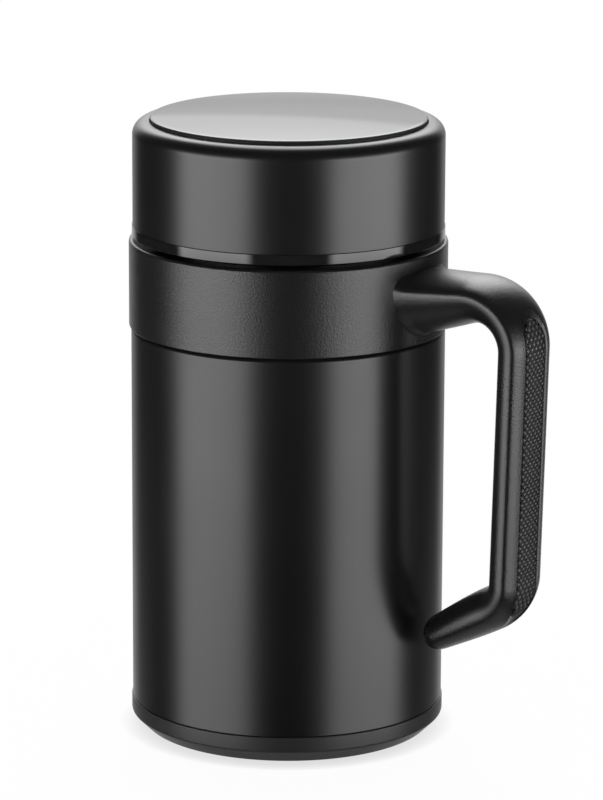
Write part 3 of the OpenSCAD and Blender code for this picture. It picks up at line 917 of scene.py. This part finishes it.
def carve(shape, tools, operation):
    """Cuts or joins bmeshes with exact booleans."""
    made = [add_object("helper", mesh_of("helper", each)) for each in (shape, *tools)]
    for tool in made[1:]:
        modifier = made[0].modifiers.new(tool.name, "BOOLEAN")
        modifier.operation = operation
        modifier.solver = "EXACT"
        modifier.object = tool
    shown = made[0].evaluated_get(bpy.context.evaluated_depsgraph_get())
    meshes = [bpy.data.meshes.new_from_object(shown)] + [each.data for each in made]
    carved = bmesh.new()
    carved.from_mesh(meshes[0])
    for each in made:
        bpy.data.objects.remove(each)
    for mesh in meshes:
        bpy.data.meshes.remove(mesh)
    return carved


class MUG_OT_grip_insert(bpy.types.Operator):
    """Diamond-knurled insert in the grip's outer face"""

    bl_idname = "travel_mug.grip_insert"
    bl_label = "Grip Insert"

    def execute(self, context):
        mug = mug_of(context)
        insert = knurled_insert(HandleLine(mug.handle, mug.body.shell_r))
        rubber = knurled_rubber("insert_rubber", mug.finish.insert, mug.finish.insert_rough)
        piece("knurled_insert", insert, rubber, "mug", "grip_inlay", sharp=math.pi)
        return {"FINISHED"}


class MUG_OT_lid_shell(bpy.types.Operator):
    """Lacquered outer shell of the lid"""

    bl_idname = "travel_mug.lid_shell"
    bl_label = "Lid Shell"

    def execute(self, context):
        mug = mug_of(context)
        lid = mug.lid
        low, high = node_span("lid_shell")
        r = node_radius("lid_shell")
        well_r = node_radius("lid_top_disc") + lid.disc_play
        well_z = node_span("lid_top_disc")[0]
        inside, roof = r - lid.wall, well_z - lid.plate_t
        inner_round, well_round = 0.1 * MM, 0.12 * MM
        shoulder = [(r - lid.shoulder_w * (1 - math.cos(a)), high - lid.shoulder_h * (1 - math.sin(a)))
                    for a in steps_between(0, math.pi / 2, SHOULDER_STEPS)]
        bm = lathe([
            (inside, low, inner_round), (r, low, lid.foot_round), *shoulder, (r - lid.shoulder_w, high),
            (well_r, high, well_round), (well_r, well_z), (0, well_z), (0, roof), (inside, roof)])
        lacquer = satin_lacquer("lid_lacquer", mug.finish.lacquer, mug.finish.lacquer_rough)
        piece("lid_cap", bm, lacquer, "lid", "lid_shell")
        return {"FINISHED"}


class MUG_OT_top_disc(bpy.types.Operator):
    """Glossy domed disc on the lid"""

    bl_idname = "travel_mug.top_disc"
    bl_label = "Top Disc"

    def execute(self, context):
        mug = mug_of(context)
        low, high = node_span("lid_top_disc")
        r = node_radius("lid_top_disc")
        edge_z = node_span("lid_shell")[1] + mug.lid.disc_edge
        rise = high - edge_z
        dome_r = (r * r + rise * rise) / (2 * rise)
        dome = [(x, high - dome_r + math.sqrt(dome_r ** 2 - x ** 2)) for x in steps_between(0, r, DOME_STEPS)]
        bm = lathe([(0, low), (r, low), (r, edge_z, mug.lid.disc_round)] + dome[:0:-1] + [dome[0]])
        # From edge_r outwards the disc's rim turns matt and gets painted shade.
        gloss = polished_plastic("disc_gloss", mug.finish.disc, rough=0.05, edge_r=r)
        piece("lid_disc", bm, gloss, "lid", "lid_top_disc")
        return {"FINISHED"}


class MUG_OT_lid_liner(bpy.types.Operator):
    """Threaded liner of the lid, whose flange shows as a glossy ring"""

    bl_idname = "travel_mug.lid_liner"
    bl_label = "Lid Liner"

    def execute(self, context):
        mug = mug_of(context)
        lid = mug.lid
        low, high = node_span("lid_liner")
        ring_r = node_radius("lid_liner")
        bore = lid.liner_r - lid.liner_t
        roof, ring_top = high - lid.roof_t, low + lid.ring_h
        bore_round = 0.2 * MM
        bm = lathe([
            (bore, low, bore_round), (ring_r, low, lid.ring_round), (ring_r, ring_top, lid.ring_round),
            (lid.liner_r, ring_top), (lid.liner_r, high), (0, high), (0, roof),
            (lid.lip_r - lid.lip_t, roof), (lid.lip_r - lid.lip_t, roof - lid.lip_drop),
            (lid.lip_r, roof - lid.lip_drop), (lid.lip_r, roof), (bore, roof)])
        ridge_h, axial_play, radial_play = 1.2 * MM, 0.35 * MM, 0.4 * MM
        low_thread = thread_start(lid) - ridge_h - axial_play
        thread(bm, low_thread, bore + THREAD_ROOT, mug.body.neck_r + radial_play, lid)
        gloss = polished_plastic("liner_gloss", mug.finish.gloss, rough=0.06)
        piece("lid_liner_ring", bm, gloss, "lid", "lid_liner")
        return {"FINISHED"}


class MUG_OT_inner_parts(bpy.types.Operator):
    """Finishes of the parts inside the mug and the lid"""

    bl_idname = "travel_mug.inner_parts"
    bl_label = "Inner Parts"

    def execute(self, context):
        f = mug_of(context).finish
        steel = brushed_metal("vessel_steel", f.steel, rough=0.28)
        finishes = {
            "inner_vessel": steel,
            "vacuum_base": steel,
            "getter": powder("getter_alloy", f.getter, rough=0.7, grain=0.3 * MM, metal=1.0),
            "vent_seal": powder("solder_bead", f.solder, rough=0.4, grain=0.6 * MM, metal=1.0),
            "lid_gasket": soft_rubber("gasket_silicone", f.silicone, rough=0.5, grain=0.5 * MM),
            "lid_insulation": powder("lid_foam", f.foam, rough=0.85, grain=0.9 * MM),
        }
        for name, material in finishes.items():
            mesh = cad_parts[name].data
            mesh.materials.clear()
            mesh.materials.append(material)
        return {"FINISHED"}


class MUG_OT_stage(bpy.types.Operator):
    """Floor, studio light and camera"""

    bl_idname = "travel_mug.stage"
    bl_label = "Studio"

    def execute(self, context):
        studio = mug_of(context).studio
        scene = context.scene
        scene.view_settings.view_transform = "Standard"
        forward = self.camera(scene, studio)
        self.floor(studio, forward)
        self.world(scene, studio, forward)
        return {"FINISHED"}

    def floor(self, studio, forward):
        bm = bmesh.new()
        bmesh.ops.create_circle(bm, cap_ends=True, segments=96, radius=studio.floor_r)
        floor = add_object("floor", mesh_of("floor", bm))
        material = bpy.data.materials.new("floor")
        material.use_nodes = True
        tree = material.node_tree
        tree.nodes.clear()
        lit = add_node(tree, "ShaderNodeBsdfDiffuse", inputs={"Color": (*studio.floor, 1)})
        contact, darkest, glow_share = 5 * MM, 0.7, 0.97
        lean = add_node(tree, "ShaderNodeVectorMath", {"operation": "NORMALIZE"}, {0: forward + UP})
        shade = add_node(tree, "ShaderNodeAmbientOcclusion", {"samples": 16}, {"Distance": contact, "Normal": lean},
                         output="AO")
        glow = add_node(tree, "ShaderNodeEmission", inputs={
            "Color": (1, 1, 1, 1), "Strength": darkest + (1 - darkest) * shade})
        shown = add_node(tree, "ShaderNodeMixShader", inputs={0: self.seen(tree) * glow_share, 1: lit, 2: glow})
        add_node(tree, "ShaderNodeOutputMaterial", inputs={"Surface": shown})
        floor.data.materials.append(material)
        floor.visible_glossy = False

    def seen(self, tree):
        """1 where the camera sees a surface, itself or through glass."""
        camera, glass = (add_node(tree, "ShaderNodeLightPath", output=f"Is {kind} Ray")
                         for kind in ("Camera", "Transmission"))
        return camera.maths("MAXIMUM", camera, glass)

    def camera(self, scene, studio):
        data = bpy.data.cameras.new("camera")
        data.lens = studio.lens
        data.sensor_width = 36
        data.clip_start, data.clip_end = 0.01, 20
        camera = add_object("camera", data)
        level = Vector((-math.cos(studio.camera_turn), math.sin(studio.camera_turn), 0))
        look = level * math.cos(studio.camera_pitch) - UP * math.sin(studio.camera_pitch)
        camera.rotation_mode = "QUATERNION"
        camera.location = studio.camera_at
        camera.rotation_quaternion = look.to_track_quat("-Z", "Y") @ Quaternion((0, 0, 1), studio.camera_roll)
        scene.camera = camera
        return level

    def world(self, scene, studio, forward):
        """White for the camera; panels at both sides and a backdrop for the light on the mug."""
        world = bpy.data.worlds.new("studio")
        world.use_nodes = True
        scene.world = world
        tree = world.node_tree
        tree.nodes.clear()
        way = add_node(tree, "ShaderNodeTexCoord", output="Generated")
        near, right, height = (
            add_node(tree, "ShaderNodeVectorMath", {"operation": "DOT_PRODUCT"}, {0: way, 1: axis}, output="Value")
            for axis in (-forward, forward.cross(UP), UP))
        turn = right.maths("ARCTAN2", right, near)
        rise = height.maths("ARCSINE", height)
        away = turn.maths("ABSOLUTE", turn)

        def smooth(value, low, high):
            return value.smooth(math.radians(low), math.radians(high))

        def band(value, low, high, edge):
            return smooth(value, low - edge, low + edge) * (1 - smooth(value, high - edge, high + edge))

        sides = band(turn, *LEFT_PANEL, PANEL_EDGE) + band(turn, *RIGHT_PANEL, PANEL_EDGE)
        panels = sides * smooth(rise, *PANEL_FOOT) * (1 - smooth(rise, *PANEL_HEAD)) * studio.side_light
        backdrop = smooth(rise, *HORIZON) * (studio.backdrop - studio.table_light) + studio.table_light
        slanted = rise - SLANT_LEAN * right
        bright = (studio.haze_light * smooth(rise, *HAZE) + studio.slant_light * smooth(slanted, *SLANT)
                  + studio.back_light * smooth(rise, *BACK_RISE) + studio.sky_light * smooth(rise, *SKY_RISE))
        behind = (band(away, *BACKDROP, BACKDROP_EDGE) * (backdrop + bright)
                  * (1 - smooth(rise, *BACKDROP_HEAD)) * smooth(rise, *BACKDROP_FOOT))
        table = smooth(away, *TABLE_TURN) * band(rise, *TABLE_RISE, TABLE_EDGE) * studio.table_sides
        below = (1 - smooth(rise, *BELOW)) * studio.table_below
        matt = add_node(tree, "ShaderNodeLightPath", output="Is Diffuse Ray")
        top = smooth(rise, *OVERHEAD) * matt * studio.top_light
        light = panels + behind + table + below + top + studio.fill
        seen = self.seen(tree)
        strength = seen + (1 - seen) * light
        shown = add_node(tree, "ShaderNodeBackground", inputs={"Color": (1, 1, 1, 1), "Strength": strength})
        add_node(tree, "ShaderNodeOutputWorld", inputs={"Surface": shown})


class MUG_PT_panel(bpy.types.Panel):
    """Lists the settings and the steps that build the mug"""

    bl_idname = "MUG_PT_panel"
    bl_label = "Travel Mug"
    bl_space_type = "VIEW_3D"
    bl_region_type = "UI"
    bl_category = "Travel Mug"

    def draw(self, context):
        mug = mug_of(context)
        for group in (mug.body, mug.handle, mug.lid, mug.finish, mug.studio):
            box = self.layout.box()
            for key in group.__annotations__:
                box.prop(group, key)
        for step in STEPS:
            self.layout.operator(step.bl_idname)


GROUPS = (MugBodySizes, MugHandleSizes, MugLidSizes, MugFinishes, MugStudio, TravelMug)
STEPS = (MUG_OT_stage, MUG_OT_steel_body, MUG_OT_base, MUG_OT_collar_handle, MUG_OT_grip_insert, MUG_OT_lid_shell,
         MUG_OT_top_disc, MUG_OT_lid_liner, MUG_OT_inner_parts)


def register():
    for each in (*GROUPS, *STEPS, MUG_PT_panel):
        bpy.utils.register_class(each)
    bpy.types.Scene.travel_mug = PointerProperty(type=TravelMug)


def unregister():
    del bpy.types.Scene.travel_mug
    for each in reversed((*GROUPS, *STEPS, MUG_PT_panel)):
        bpy.utils.unregister_class(each)


def main():
    register()
    for step in STEPS:
        group, name = step.bl_idname.split(".")
        getattr(getattr(bpy.ops, group), name)()


if __name__ == "__main__":
    main()
